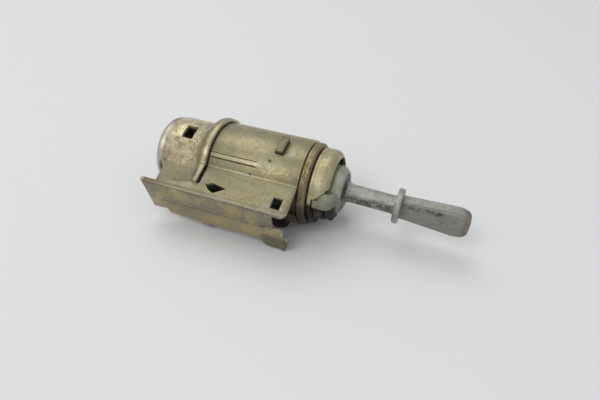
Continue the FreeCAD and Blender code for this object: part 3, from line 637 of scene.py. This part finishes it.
# Painted shade on the lug's sides, below its lighter top.
lug_side_shade = band(radius, 10.6, 12.15, 0.08)
colour = layer(colour, lug_side_shade, 0.9, (66, 54, 38))
wear_bright = use(tree, "Edge wear", {"Cover": 0.6, "Size": 0.6})[0]
colour = layer(colour, times(wear_bright, clear), 0.6, (184, 176, 150))
rough = maths(tree, "ADD", 0.4, times(patches, 0.2))
complete(tree, shader, colour, rough, 0.3, object_noise(tree, 4.0, 5.0), 0.00004)


# %% [markdown]
# The inner parts are seen through the key slot and in the open poses. They share one recipe with their
# own colours: a metal with soft blotches, a few specks and a fine grain.

# %% Inner metals
def plain_metal(name, light, dark, rough_from, rough_by, metallic, seed):
    """A blotchy metal with specks and a fine grain."""
    paint, tree, shader = new_paint(name)
    patches = blotches(tree, 1.2, 0.5, 0.15, seed)
    colour = blend_colours(patches, tone(*light), tone(*dark))
    colour = layer(colour, specks(tree, 0.35, 0.8, seed), 0.3, (44, 38, 30))
    rough = maths(tree, "ADD", rough_from, times(patches, rough_by))
    complete(tree, shader, colour, rough, metallic, object_noise(tree, 4.0, 4.0), 0.00002)
    return paint


plug_paint = plain_metal("plug_zinc", (168, 168, 162), (146, 144, 136), 0.35, 0.2, 0.6, 71.0)
brass_paint = plain_metal("wafer_brass", (196, 164, 96), (166, 134, 72), 0.3, 0.15, 0.9, 73.0)
spring_paint = plain_metal("spring_steel", (150, 150, 148), (120, 118, 112), 0.3, 0.15, 0.9, 75.0)
grease_and_shade_paint = plain_metal("black_grease_and_shade", (13, 11, 9), (32, 26, 19), 0.45, 0.25, 0.1, 77.0)
coil_paint = plain_metal("greasy_spring", (36, 31, 25), (86, 72, 50), 0.3, 0.25, 0.4, 79.0)
for start, finish in (("plug", plug_paint), ("wafer", brass_paint), ("wafer_spring", spring_paint),
                      ("shutter", spring_paint), ("driver_pin", spring_paint)):
    for node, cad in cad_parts.items():
        if node.startswith(start):
            for place in cad.material_slots:
                place.link = "OBJECT"
                place.material = finish
print("materials", len(bpy.data.materials))

# %% [markdown]
# ## Pieces copied from the frame, with softened edges
#
# The sleeve and the housing have the right shape already, but real sheet and castings have no knife
# edges. A copy of each mesh is merged, its flat facets are joined, and its sharp edges get a small
# bevel, which catches the light. The new faces also carry the attribute for edge wear. The frame's own
# meshes stay as they are.


# %% Softened copy
def pick_only(piece):
    """Select this piece alone and make it the active one."""
    bpy.ops.object.select_all(action="DESELECT")
    piece.select_set(True)
    bpy.context.view_layer.objects.active = piece


def open_mesh():
    """Enter edit mode on the active piece, with all of its mesh selected."""
    bpy.ops.object.mode_set(mode="EDIT")
    bpy.ops.mesh.select_all(action="SELECT")


def close_mesh():
    """Go back to object mode."""
    bpy.ops.object.mode_set(mode="OBJECT")


def shade(piece, degrees):
    """Smooth every edge that is flatter than this."""
    pick_only(piece)
    bpy.ops.object.shade_smooth_by_angle(angle=math.radians(degrees), keep_sharp_edges=False)


def soften(piece, width, sharp=28.0):
    """Bevel the edges that are sharper than this, and mark the outer edges for wear and inner corners for
    shade.
    """
    pick_only(piece)
    bpy.ops.object.mode_set(mode="EDIT")
    bpy.ops.mesh.select_mode(type="EDGE")
    bpy.ops.mesh.select_all(action="DESELECT")
    bpy.ops.mesh.edges_select_sharp(sharpness=math.radians(sharp))
    bpy.ops.mesh.bevel(offset=width * MM, segments=2, profile=0.5, clamp_overlap=True)
    close_mesh()
    mesh = bmesh.new()
    mesh.from_mesh(piece.data)
    worn = mesh.verts.layers.float.new("edge")
    for vertex in mesh.verts:
        if vertex.link_faces and all(f.select for f in vertex.link_faces):
            turns = [e.calc_face_angle_signed(0.0) for e in vertex.link_edges]
            vertex[worn] = 1.0 if sum(turns) > 0 else -1.0
    mesh.to_mesh(piece.data)
    mesh.free()


def softened_copy(node, name, width):
    """Copy a node's mesh into a new piece with bevelled edges of this width in millimetres."""
    piece = bpy.data.objects.new(name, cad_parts[node].data.copy())
    bpy.context.scene.collection.objects.link(piece)
    pick_only(piece)
    open_mesh()
    bpy.ops.mesh.remove_doubles(threshold=0.000002)
    bpy.ops.mesh.dissolve_limited(angle_limit=math.radians(0.3))
    close_mesh()
    soften(piece, width)
    shade(piece, 50)
    return piece


def hand_over(piece, body, slot, paint, *nodes):
    """Give a finished piece its material, its body and the nodes that it stands for. The slot is not used."""
    piece.data.materials.clear()
    piece.data.materials.append(paint)
    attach(piece, body)
    if nodes:
        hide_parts(*nodes)
    print(piece.name, len(piece.data.polygons), "faces")


sleeve = softened_copy("sleeve_bracket", "sleeve_sheet", 0.09)
hand_over(sleeve, "barrel", "chromated_steel", sheet_paint, "sleeve_bracket")
housing = softened_copy("housing", "housing_casting", 0.07)
hand_over(housing, "barrel", "zinc_housing", housing_paint, "housing")

# %% [markdown]
# ## Turned pieces
#
# The cap, the ring, the rear cap, the hub and the rod are all round. On a lathe each is a profile that
# goes once round the axis, and Blender's spin operator does the same. A plane is added and shrunk to a
# single point, the point is pulled along the profile, the outline is filled and the face is spun. An
# angle is counted from the bracket's side (-Y) upwards.


# %% Spin a profile round the barrel
def turned_piece(name, profile, first=0.0, last=360.0, steps=120):
    """Spin a closed outline of (x, radius) points, in millimetres, from one angle to another."""
    side = Vector((0, -math.cos(math.radians(first)), math.sin(math.radians(first))))
    points = [(Vector((x, 0, 0)) + side * r) * MM for x, r in profile]
    bpy.ops.mesh.primitive_plane_add(size=0.0001)
    piece = bpy.context.object
    piece.name = name
    bpy.ops.object.mode_set(mode="EDIT")
    bpy.ops.mesh.select_mode(type="VERT")
    bpy.ops.mesh.select_all(action="SELECT")
    bpy.ops.mesh.merge(type="CENTER")
    bpy.ops.transform.translate(value=points[0])
    for here, there in zip(points, points[1:]):
        bpy.ops.mesh.extrude_region_move(TRANSFORM_OT_translate={"value": there - here})
    bpy.ops.mesh.select_all(action="SELECT")
    bpy.ops.mesh.edge_face_add()
    if last - first == 360:
        bpy.ops.mesh.delete(type="ONLY_FACE")
        bpy.ops.mesh.select_all(action="SELECT")
    bpy.ops.mesh.spin(steps=steps, angle=math.radians(last - first), center=(0, 0, 0), axis=(1, 0, 0))
    bpy.ops.mesh.select_all(action="SELECT")
    bpy.ops.mesh.remove_doubles(threshold=0.000001)
    bpy.ops.mesh.normals_make_consistent(inside=False)
    close_mesh()
    return piece


def arc(x, radius, size, start, end, steps):
    """Points of a round about a centre. 0 points outwards and 90 points along +X."""
    turns = [math.radians(start + (end - start) * i / steps) for i in range(steps + 1)]
    return [(x + size * math.sin(t), radius + size * math.cos(t)) for t in turns]


def block(start, end, inside, outside):
    """The outline of a plain band, from one x to another and between two radii."""
    return [(start, inside), (end, inside), (end, outside), (start, outside)]


def smooth_round(piece, degrees=40):
    """Smooth the round faces of a piece, and keep its flat ones flat."""
    shade(piece, degrees)
    flat = piece.modifiers.new("flat", "WEIGHTED_NORMAL")
    flat.keep_sharp = True
    bpy.ops.object.modifier_apply(modifier=flat.name)


def break_edges(piece, width, sharp=28.0):
    """Bevel the edges of a turned or cut piece by this many millimetres, then smooth it."""
    soften(piece, width, sharp)
    smooth_round(piece, 50)


# %% [markdown]
# ## Face cap
#
# The cap is pressed from thin steel. Its edge is rolled over the key face, and a polishing wheel has cut
# shallow rings into its side. Each ring is a dip of a few hundredths of a millimetre in the profile,
# which is enough to break up the reflection.

# %% Face cap
SIDE, WALL, ROUND, BACK, OPENING = 9.5, 0.45, 1.3, 2.6, 6.2
outline = [(WALL, OPENING)] + arc(ROUND, SIDE - ROUND, ROUND - WALL, -90, 0, 3)
outline += [(BACK, SIDE - WALL), (BACK, SIDE - 0.06), (BACK - 0.06, SIDE)]
for x, dip in ((2.2, 0.035), (1.86, 0.03), (1.6, 0.02), (1.42, 0.03)):
    outline += [(x + 0.07, SIDE), (x, SIDE - dip), (x - 0.07, SIDE)]
outline += arc(ROUND, SIDE - ROUND, ROUND, 0, -90, 12)
outline += [(0.0, 7.7), (0.05, 7.6), (0.05, 7.35), (0.0, 7.25), (0.0, OPENING + 0.1), (0.07, OPENING)]
face_cap = turned_piece("face_cap_shell", outline, steps=144)
smooth_round(face_cap)
hand_over(face_cap, "barrel", "polished_steel", bright_paint, "face_cap")

# %% [markdown]
# ## Lock ring
#
# A plain bronze ring with broken edges. Its rear corner is bevelled and rubbed grey. A shallow groove
# runs round its middle.

# %% Lock ring
START, INSIDE, OUTSIDE = 40.97, 9.07, 10.74
outline = [(START, INSIDE)]
for x, depth in ((0, 0.18), (0.05, 0.06), (0.18, 0), (0.62, 0), (0.72, 0.06), (0.86, 0.06), (0.96, 0),
                 (1.4, 0), (1.52, 0.04), (1.86, 0.38), (1.93, 0.55), (1.93, OUTSIDE - INSIDE)):
    outline.append((START + x, OUTSIDE - depth))
ring = turned_piece("lock_ring_band", outline, steps=144)
smooth_round(ring)
hand_over(ring, "barrel", "bronze_ring", ring_paint, "lock_ring")

# %% [markdown]
# ## Rear cap
#
# The cap behind the ring is drawn from sheet, with a rolled front rim and a wide shoulder. Its lower
# near side is cut away so that the driver's skirt can swing. The shell is turned first. A thick wedge,
# turned in the same way, is then cut out of it with a Boolean modifier. The cut's upper edge slants up
# towards the rear and ends in a round corner. A row of narrow wedges gives the slant, and a second row
# gives the corner.


# %% Rear cap
def cut_away(piece, cutter):
    """Take the cutter's space out of the piece, and remove the cutter."""
    pick_only(piece)
    hole = piece.modifiers.new("hole", "BOOLEAN")
    hole.operation = "DIFFERENCE"
    hole.solver = "EXACT"
    hole.object = cutter
    bpy.ops.object.modifier_apply(modifier=hole.name)
    bpy.data.objects.remove(cutter)


RIM, OUTER, SHOULDER, SHEET = 43.27, 9.9, 2.2, 0.8
shoulder_x, shoulder_radius = 45.8, OUTER - SHOULDER
outline = [(RIM, 9.12), (RIM, OUTER - 0.3)] + arc(RIM + 0.3, OUTER - 0.3, 0.3, -90, 0, 5)
outline += [(44.1, OUTER), (44.22, OUTER - 0.05), (44.34, OUTER)]
outline += arc(shoulder_x, shoulder_radius, SHOULDER, 0, 77, 12) + [(47.88, 8.25), (47.1, 8.25)]
outline += arc(shoulder_x, shoulder_radius, SHOULDER - SHEET, 64, 0, 8) + [(43.5, 9.1)]
rear_cap = turned_piece("rear_cap_shell", outline, steps=160)

CAP_END, CORNERS = 48.0, 8
SLANT_START, SLANT_STEP, SLANT_TURN = 45.0, 0.29, 1.7
cuts = [(44.27, -99, 20, 60)]
cuts += [(SLANT_START + SLANT_STEP * i, 15, 20.8 + SLANT_TURN * i, 6) for i in range(10)]
for i in range(CORNERS):
    turn = math.radians(90 * (i + 0.5) / CORNERS)
    cuts.append((CAP_END - 0.9 * (1 - math.sin(turn)), 30, 36 + 12 * (1 - math.cos(turn)), 6))
for start, low_angle, high_angle, steps in cuts:
    wedge = block(start, CAP_END + 2, 2.0, 14.0)
    cut_away(rear_cap, turned_piece("cut", wedge, low_angle, high_angle, steps))
break_edges(rear_cap, 0.08)
hand_over(rear_cap, "barrel", "chromated_steel", cap_sheet_paint, "rear_cap")

# %% [markdown]
# ## Driver
#
# One zinc casting carries the hub under the rear cap, the skirt that lies in its cut-out, the rod, a
# flange and the flat blade. It is modelled as the separate forms that a pattern maker would join. The
# rod, the flange and the blade are a little bent on this used part, down and towards the bracket. They
# are made straight and then turned together about the end of the hub.

# %% Hub, skirt and foot
outline = [(44.5, 4.6), (44.5, 6.35)] + arc(48.1, 3.85, 2.5, 0, 84, 16)
outline += [(50.5, 3.72), (50.56, 3.6), (50.56, 1.0), (46.0, 1.0)]
hub = turned_piece("driver_hub", outline, steps=144)
smooth_round(hub)
hand_over(hub, "rotor", "zinc_driver", zinc_paint, "driver")

LEAF_START, LEAF_INSIDE, LEAF_OUTSIDE, LEAF_LOW = 45.74, 8.87, 9.5, 5.2
outline = [(47.34, 5.0), (47.34, LEAF_INSIDE), (LEAF_START, LEAF_INSIDE), (LEAF_START, LEAF_OUTSIDE)]
outline += arc(47.5, 8.6, 0.9, 0, 55, 6) + [(48.7, 8.2), (49.15, 7.1), (49.6, 6.1), (50.0, 5.0)]
skirt = turned_piece("driver_skirt", outline, LEAF_LOW, 30.8, 32)
for i in range(6):
    corner = block(45.0, LEAF_START + SLANT_STEP * (i + 0.5), 8.0, 10.5)
    cut_away(skirt, turned_piece("corner", corner, 22.0 + SLANT_TURN * i, 34, 12))
outline = [(47.25, 5.0), (47.25, 7.7)] + arc(47.6, 7.6, 0.35, -90, 0, 4)[1:] + [(48.1, 7.95)]
foot = turned_piece("driver_foot", outline + [(48.7, 7.5), (49.3, 6.5), (49.75, 5.0)], -54, 6, 60)
strip = turned_piece("driver_strip", block(44.5, 45.9, LEAF_INSIDE, LEAF_OUTSIDE), LEAF_LOW, 17.8, 12)
for piece, width in ((skirt, 0.4), (foot, 0.25), (strip, 0.12)):
    break_edges(piece, width)
    hand_over(piece, "rotor", "zinc_driver", zinc_paint)


# %% [markdown]
# The rod and its flange are turned. The blade starts as a cube between the flange and the tip. Its end
# face is picked and resized, which gives the taper. It is then extruded in short steps that get
# smaller, which rounds the tip. The bent pieces share one matrix, which turns their meshes.

# %% Rod, flange and blade
BEND, BEND_SIDE = math.radians(1.6), math.radians(-55)
BEND_AT = Vector((50.6, 0, 0)) * MM
bend_axis = Vector((1, 0, 0)).cross(Vector((0, -math.cos(BEND_SIDE), math.sin(BEND_SIDE))))
bend = Matrix.Translation(BEND_AT) @ Matrix.Rotation(BEND, 4, bend_axis) @ Matrix.Translation(-BEND_AT)


def bend_over(piece):
    """Turn a straight piece with the bent rod, in its mesh, so that its object stays at the origin."""
    piece.data.transform(bend)
    piece.data.update()


outline = [(49.6, 0.4), (49.6, 3.5), (50.62, 3.5), (50.9, 3.05), (51.3, 2.62), (51.8, 2.4), (52.4, 2.36)]
outline += [(57.0, 2.35), (62.6, 2.35), (63.2, 2.5), (63.6, 2.6), (63.6, 0.4)]
rod = turned_piece("drive_rod", outline, steps=96)
outline = [(63.3, 0.5), (63.3, 4.1)] + arc(63.65, 4.1, 0.35, -90, 0, 5)
outline += arc(64.45, 4.1, 0.35, 0, 90, 5) + [(64.8, 0.5)]
flange = turned_piece("rod_flange", outline, steps=96)
for piece in (rod, flange):
    bend_over(piece)
    smooth_round(piece)
    hand_over(piece, "rotor", "zinc_driver", zinc_paint)

BLADE_START, BLADE_END, THICK, THICK_END, WIDE, WIDE_END = 64.05, 77.8, 2.9, 3.7, 5.45, 6.8
length = BLADE_END - BLADE_START
bpy.ops.mesh.primitive_cube_add(size=1.0)
blade = bpy.context.object
blade.name = "drive_blade"
open_mesh()
bpy.ops.transform.resize(value=(length * MM, THICK * MM, WIDE * MM), center_override=(0, 0, 0))
bpy.ops.transform.translate(value=((BLADE_START + length / 2) * MM, 0, 0))


def pick_faces(piece, test):
    """Select the faces whose centre and normal pass the test, in edit mode."""
    mesh = bmesh.from_edit_mesh(piece.data)
    for part in (mesh.verts, mesh.edges, mesh.faces):
        for item in part:
            item.select = False
    for face in mesh.faces:
        if test(face.calc_center_median() / MM, face.normal):
            face.select_set(True)
    bmesh.update_edit_mesh(piece.data)


pick_faces(blade, lambda c, n: n.x > 0.9)
bpy.ops.transform.resize(value=(1, THICK_END / THICK, WIDE_END / WIDE),
                         center_override=(BLADE_END * MM, 0, 0))
for step, thick, wide in ((0.9, 1.0, 0.98), (0.9, 0.98, 0.94), (0.8, 0.94, 0.89), (0.5, 0.9, 0.83),
                          (0.3, 0.9, 0.78)):
    bpy.ops.mesh.extrude_region_move(TRANSFORM_OT_translate={"value": (step * MM, 0, 0)})
    bpy.ops.transform.resize(value=(1, thick, wide), center_override=(0, 0, 0))
close_mesh()
print("blade", [round(v / MM, 2) for v in blade.dimensions])
bend_over(blade)
break_edges(blade, 0.22, 24.0)
hand_over(blade, "rotor", "zinc_driver", zinc_paint)

# %% [markdown]
# The ejector pins of the die left small round marks on the rod and on the blade's near side. Each is a
# very low ring. One torus is added, flattened in edit mode and copied, each copy with its own mesh, and
# pressed into the surface where the photo shows it.

# %% Ejector marks
bpy.ops.mesh.primitive_torus_add(major_radius=0.8 * MM, minor_radius=0.17 * MM, major_segments=40,
                                 minor_segments=8)
first_mark = bpy.context.object
open_mesh()
bpy.ops.transform.resize(value=(1, 1, 0.45), center_override=(0, 0, 0))
close_mesh()
marks = {"rod_mark": ((57.0, -2.31, 0.1), 0.6, -3), "blade_mark": ((75.6, -1.8, -0.5), 1.0, 0)}
for name, (place, size, tip) in marks.items():
    mark = bpy.data.objects.new(name, first_mark.data.copy())
    bpy.context.scene.collection.objects.link(mark)
    facing = Matrix.Rotation(math.radians(90 + tip), 4, "X")
    mark.data.transform(bend @ Matrix.Translation(Vector(place) * MM) @ facing @ Matrix.Scale(size, 4))
    shade(mark, 60)
    hand_over(mark, "rotor", "zinc_driver", zinc_paint)
bpy.data.objects.remove(first_mark)

# %% [markdown]
# ## Return spring
#
# The spring is a round wire coiled round the hub. A circle is added at the size of the wire, and a Screw
# modifier turns it round the barrel while it moves along. The front end goes into the housing.

# %% Return spring
WIRE, COIL, PITCH, TURNS = 0.44, 8.1, 0.92, 2.0
SPIGOT_END, COIL_GAP = 44.2, 0.15
FIRST = SPIGOT_END + COIL_GAP + WIRE
bpy.ops.mesh.primitive_circle_add(vertices=16, radius=WIRE * MM)
coil = bpy.context.object
coil.name = "spring_coil"
bpy.ops.object.mode_set(mode="EDIT")
bpy.ops.mesh.select_mode(type="VERT")
bpy.ops.mesh.select_all(action="SELECT")
bpy.ops.transform.translate(value=(FIRST * MM, -COIL * MM, 0))
close_mesh()
coil.data.transform(Matrix.Rotation(-math.radians(8.5), 4, "X"))
winding = coil.modifiers.new("winding", "SCREW")
winding.axis = "X"
winding.angle = math.radians(360 * TURNS)
winding.screw_offset = PITCH * TURNS * MM
winding.steps = 96
winding.render_steps = 96
bpy.ops.object.modifier_apply(modifier=winding.name)
open_mesh()
bpy.ops.mesh.remove_doubles(threshold=0.000001)
bpy.ops.mesh.select_all(action="DESELECT")
bpy.ops.mesh.select_non_manifold()
bpy.ops.mesh.edge_face_add()
bpy.ops.mesh.select_all(action="SELECT")
bpy.ops.mesh.normals_make_consistent(inside=False)
close_mesh()
shade(coil, 50)
print("coil", [round(v / MM, 2) for v in coil.dimensions])
hand_over(coil, "barrel", "oily_spring", coil_paint, "return_spring")

# %% [markdown]
# ## Grease, dirt and a torn edge
#
# Old grease has run down round the spring and dried in lumps under the skirt. A lump is a ball pressed
# flat and pushed about by a Displace modifier with a cloud texture. The lumps on the hub turn with it.
# A black lump under the band stays with the barrel: it is painted shade, seen through the notch.


# %% Lumps of grease
def lump(name, body, angle, radius, x, size, seed):
    """A rough black ball at a place round the barrel, in millimetres."""
    bpy.ops.mesh.primitive_ico_sphere_add(subdivisions=4, radius=1.0 * MM)
    piece = bpy.context.object
    piece.name = name
    open_mesh()
    bpy.ops.transform.resize(value=size, center_override=(0, 0, 0))
    close_mesh()
    clouds = bpy.data.textures.new(name + "_clouds", "CLOUDS")
    clouds.noise_scale = 0.0009
    clouds.noise_basis = "ORIGINAL_PERLIN"
    rough = piece.modifiers.new("rough", "DISPLACE")
    rough.texture = clouds
    rough.strength = 0.35 * MM
    rough.mid_level = 0.6
    bpy.ops.object.modifier_apply(modifier=rough.name)
    own_turn = Matrix.Rotation(math.radians(seed * 40), 4, "X")
    outwards = Matrix.Translation(Vector((x, 0, radius)) * MM)
    piece.data.transform(Matrix.Rotation(math.radians(90 - angle), 4, "X") @ outwards @ own_turn)
    shade(piece, 60)
    hand_over(piece, body, "oily_spring", grease_and_shade_paint)
    return piece


# Painted shade: a black lump under the band fills the dark seen through the notch.
lump("shade_lump_under_band", "barrel", -42, 11.1, 35.2, (3.1, 2.6, 1.0), 3)
lump("grease_under_skirt", "rotor", -24, 7.0, 48.3, (0.95, 2.2, 0.9), 0)
lump("grease_on_foot", "rotor", -46, 6.7, 48.5, (0.85, 2.2, 0.8), 1)
lump("grease_on_hub", "rotor", -78, 6.5, 47.6, (1.4, 1.5, 0.55), 2)

# %% [markdown]
# Between the coils and the foot the grease has filled everything. One turned skin lies between the
# coils and stays with the barrel, and another covers the underside of the foot and turns with it.

# %% Skins of grease
bed = turned_piece("grease_in_coils", block(44.35, 46.98, 6.6, 8.3), -99, 4.5, 60)
outline = [(47.2, 5.5), (47.2, 7.85), (47.5, 8.08), (48.5, 8.0), (49.4, 6.9), (49.6, 5.5)]
skin = turned_piece("grease_skin", outline, -58, -3, 50)
for piece, body in ((bed, "barrel"), (skin, "rotor")):
    break_edges(piece, 0.12)
    hand_over(piece, body, "oily_spring", grease_and_shade_paint)

# %% [markdown]
# The slits in the sleeve aren't clean: dirt has filled them nearly to the top. A thin bed under each,
# inside the thickness of the sheet, keeps them shallow. On the far side of the barrel the sheet's end
# laps over as a low seam.

# %% Dirt in the slits and the seam
dirt_paint = plain_metal("dried_dirt", (92, 78, 54), (66, 55, 38), 0.6, 0.2, 0.1, 81.0)
for name, outline, first, last in (("tongue_dirt", block(16.6, 29.6, 10.4, 10.93), 44.5, 53.0),
                                   ("slit_dirt", block(15.7, 17.0, 10.2, 10.85), 34.0, 198.0)):
    dirt = turned_piece(name, outline, first, last, 60)
    smooth_round(dirt)
    hand_over(dirt, "barrel", "chromated_steel", dirt_paint)
seam = turned_piece("lapped_seam", block(17.5, 40.4, 10.7, 11.12), 126, 150, 30)
break_edges(seam, 0.06)
hand_over(seam, "barrel", "chromated_steel", sheet_paint)

# %% [markdown]
# The end of the step in the folded face is torn and crumpled beside the notch. A small ball is pressed
# flat against the sheet and pushed about, which gives a few sharp wrinkles.

# %% Crumpled edge
curl = lump("torn_curl", "barrel", 0, 0, 0, (1.5, 0.32, 0.55), 0)
beside_notch = Matrix.Translation(Vector((35.2, -16.42, -2.75)) * MM)
curl.data.transform(beside_notch @ Matrix.Rotation(math.radians(-12), 4, "Y"))
curl.data.materials[0] = sheet_paint
